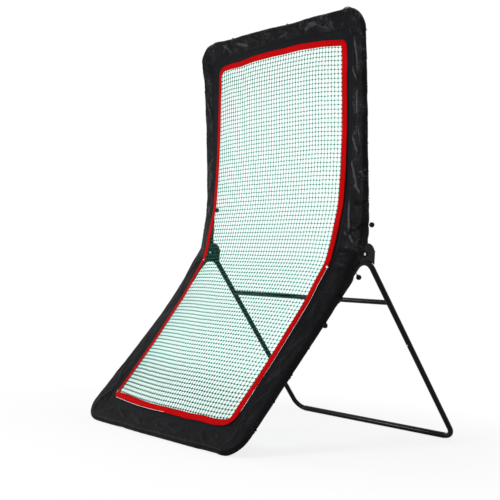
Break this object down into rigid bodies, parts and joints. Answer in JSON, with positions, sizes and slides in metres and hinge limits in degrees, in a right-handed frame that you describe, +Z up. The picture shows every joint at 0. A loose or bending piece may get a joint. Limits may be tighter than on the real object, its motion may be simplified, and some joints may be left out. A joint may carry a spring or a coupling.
{
  "type": "pitching target net",
  "caption": "Free-standing pitching target: a netted, fabric-edged panel in two frames hinged at the sides, the lower sloping to the ground, held up by a rear prop frame.",
  "frame": {"origin": "on the floor, under the middle of the overall width and depth", "axes": "+Z up; -Y towards the pitcher, whom the net faces; +X to the right seen from the front"},
  "size_m": [1.2576, 1.5542, 2.134],
  "materials": {
    "powder_coated_steel": "semi-gloss black powder coat",
    "blackened_steel": "black oxide",
    "zinc_plated_steel": "bright zinc",
    "spring_steel": "blued spring steel",
    "moulded_nylon": "fine texture",
    "oxford_cloth": "coated plain weave, slight sheen",
    "knitted_mesh": "open square mesh",
    "red_webbing": "flat woven webbing",
    "elastic_cord": "braided elastic cord",
    "moulded_ball": "glossy moulded ball"
  },
  "bodies": {
    "stand": {"arch_tube_left": "powder_coated_steel", "arch_tube_right": "powder_coated_steel", "ground_bar": "powder_coated_steel", "hinge_bracket_left": "powder_coated_steel", "hinge_bracket_right": "powder_coated_steel", "hinge_pivot_bolt_left": "blackened_steel", "hinge_pivot_bolt_right": "blackened_steel", "hinge_pivot_nut_left": "blackened_steel", "hinge_pivot_nut_right": "blackened_steel", "hinge_washers_left": "zinc_plated_steel", "hinge_washers_right": "zinc_plated_steel", "lower_bottom_bar": "powder_coated_steel", "lower_cover_bottom": "oxford_cloth", "lower_cover_left": "oxford_cloth", "lower_cover_right": "oxford_cloth", "lower_elastic_balls": "moulded_ball", "lower_elastic_loops": "elastic_cord", "lower_leg_left": "powder_coated_steel", "lower_leg_right": "powder_coated_steel", "lower_net": "knitted_mesh", "lower_snap_spring_left": "spring_steel", "lower_snap_spring_right": "spring_steel", "lower_webbing": "red_webbing", "rear_crossbar": "powder_coated_steel", "rear_leg_left": "powder_coated_steel", "rear_leg_right": "powder_coated_steel", "rear_snap_spring_left": "spring_steel", "rear_snap_spring_right": "spring_steel"},
    "upper_frame": {"hinge_clamp_bolt_left": "zinc_plated_steel", "hinge_clamp_bolt_right": "zinc_plated_steel", "hinge_clamp_nut_left": "zinc_plated_steel", "hinge_clamp_nut_right": "zinc_plated_steel", "hinge_knuckle_left": "moulded_nylon", "hinge_knuckle_right": "moulded_nylon", "upper_cover_left": "oxford_cloth", "upper_cover_right": "oxford_cloth", "upper_cover_top": "oxford_cloth", "upper_elastic_balls": "moulded_ball", "upper_elastic_loops": "elastic_cord", "upper_leg_left": "powder_coated_steel", "upper_leg_right": "powder_coated_steel", "upper_net": "knitted_mesh", "upper_top_bar": "powder_coated_steel", "upper_webbing": "red_webbing"},
    "lower_snap_button_left": {"lower_snap_button_left": "zinc_plated_steel"},
    "lower_snap_button_right": {"lower_snap_button_right": "zinc_plated_steel"},
    "rear_snap_button_left": {"rear_snap_button_left": "zinc_plated_steel"},
    "rear_snap_button_right": {"rear_snap_button_right": "zinc_plated_steel"}
  },
  "joints": [
    {"name": "upper_frame_tilt", "type": "hinge", "parent": "stand", "child": "upper_frame", "pos_m": [0, -0.01555, 0.93729], "axis": [1, 0, 0], "range_deg": [-35, 35]},
    {"name": "lower_snap_button_left_press", "type": "slide", "parent": "stand", "child": "lower_snap_button_left", "axis": [0, 0.7771, -0.6293], "range_m": [0, 0.005], "stiffness_N_per_m": 800, "deforming": ["lower_snap_spring_left"]},
    {"name": "lower_snap_button_right_press", "type": "slide", "parent": "stand", "child": "lower_snap_button_right", "axis": [0, 0.7771, -0.6293], "range_m": [0, 0.005], "stiffness_N_per_m": 800, "deforming": ["lower_snap_spring_right"]},
    {"name": "rear_snap_button_left_press", "type": "slide", "parent": "stand", "child": "rear_snap_button_left", "axis": [0, 0.7646, 0.6446], "range_m": [0, 0.005], "stiffness_N_per_m": 800, "deforming": ["rear_snap_spring_left"]},
    {"name": "rear_snap_button_right_press", "type": "slide", "parent": "stand", "child": "rear_snap_button_right", "axis": [0, 0.7646, 0.6446], "range_m": [0, 0.005], "stiffness_N_per_m": 800, "deforming": ["rear_snap_spring_right"]}
  ]
}
